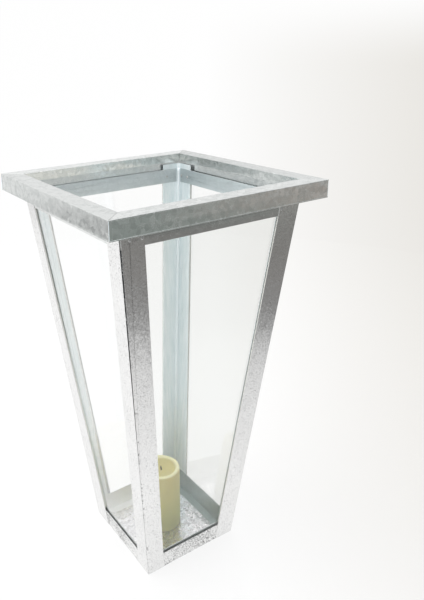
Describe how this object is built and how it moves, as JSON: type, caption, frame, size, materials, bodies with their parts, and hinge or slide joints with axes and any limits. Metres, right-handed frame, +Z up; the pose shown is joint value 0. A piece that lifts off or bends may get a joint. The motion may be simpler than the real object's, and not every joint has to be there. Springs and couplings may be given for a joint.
{
  "type": "hurricane candle lantern",
  "caption": "Tall open-topped tapered lantern of folded galvanised sheet with four trapezoid glass panes, a folded rim and a pillar candle on its floor.",
  "frame": {"origin": "centre of the base, on the plane that the lantern stands on", "axes": "+Z up through the open mouth, +X to the lantern's right and -Y to its front; the four sides are alike"},
  "size_m": [0.37, 0.37, 0.668],
  "materials": {
    "galvanised_sheet": "spangled zinc, satin",
    "solder": "dull solder",
    "seal": "matt sealant",
    "pane": "clear",
    "rivet": "dull",
    "wax": "waxy, slightly translucent",
    "wick": "charred cotton"
  },
  "bodies": {
    "lantern": {"rim_front": "galvanised_sheet", "rim_right": "galvanised_sheet", "rim_back": "galvanised_sheet", "rim_left": "galvanised_sheet", "top_rail_front": "galvanised_sheet", "top_rail_right": "galvanised_sheet", "top_rail_back": "galvanised_sheet", "top_rail_left": "galvanised_sheet", "bottom_rail_front": "galvanised_sheet", "bottom_rail_right": "galvanised_sheet", "bottom_rail_back": "galvanised_sheet", "bottom_rail_left": "galvanised_sheet", "post_strip_front_left": "galvanised_sheet", "post_strip_front_right": "galvanised_sheet", "post_strip_right_front": "galvanised_sheet", "post_strip_right_back": "galvanised_sheet", "post_strip_back_right": "galvanised_sheet", "post_strip_back_left": "galvanised_sheet", "post_strip_left_back": "galvanised_sheet", "post_strip_left_front": "galvanised_sheet", "glazing_strip_front_left": "galvanised_sheet", "glazing_strip_front_right": "galvanised_sheet", "glazing_strip_right_front": "galvanised_sheet", "glazing_strip_right_back": "galvanised_sheet", "glazing_strip_back_right": "galvanised_sheet", "glazing_strip_back_left": "galvanised_sheet", "glazing_strip_left_back": "galvanised_sheet", "glazing_strip_left_front": "galvanised_sheet", "corner_fillet_front_left": "solder", "corner_fillet_front_right": "solder", "corner_fillet_back_right": "solder", "corner_fillet_back_left": "solder", "glazing_seal_front": "seal", "glazing_seal_right": "seal", "glazing_seal_back": "seal", "glazing_seal_left": "seal", "glass_front": "pane", "glass_right": "pane", "glass_back": "pane", "glass_left": "pane", "inner_top_rail_front": "galvanised_sheet", "inner_top_rail_right": "galvanised_sheet", "inner_top_rail_back": "galvanised_sheet", "inner_top_rail_left": "galvanised_sheet", "inner_bottom_rail_front": "galvanised_sheet", "inner_bottom_rail_right": "galvanised_sheet", "inner_bottom_rail_back": "galvanised_sheet", "inner_bottom_rail_left": "galvanised_sheet", "floor_plate": "galvanised_sheet", "rivets": "rivet"},
    "candle": {"candle_wax": "wax", "candle_wick": "wick"}
  },
  "joints": [
    {"name": "candle_lift", "type": "slide", "parent": "lantern", "child": "candle", "axis": [0, 0, 1], "range_m": [0, 0.68]}
  ]
}
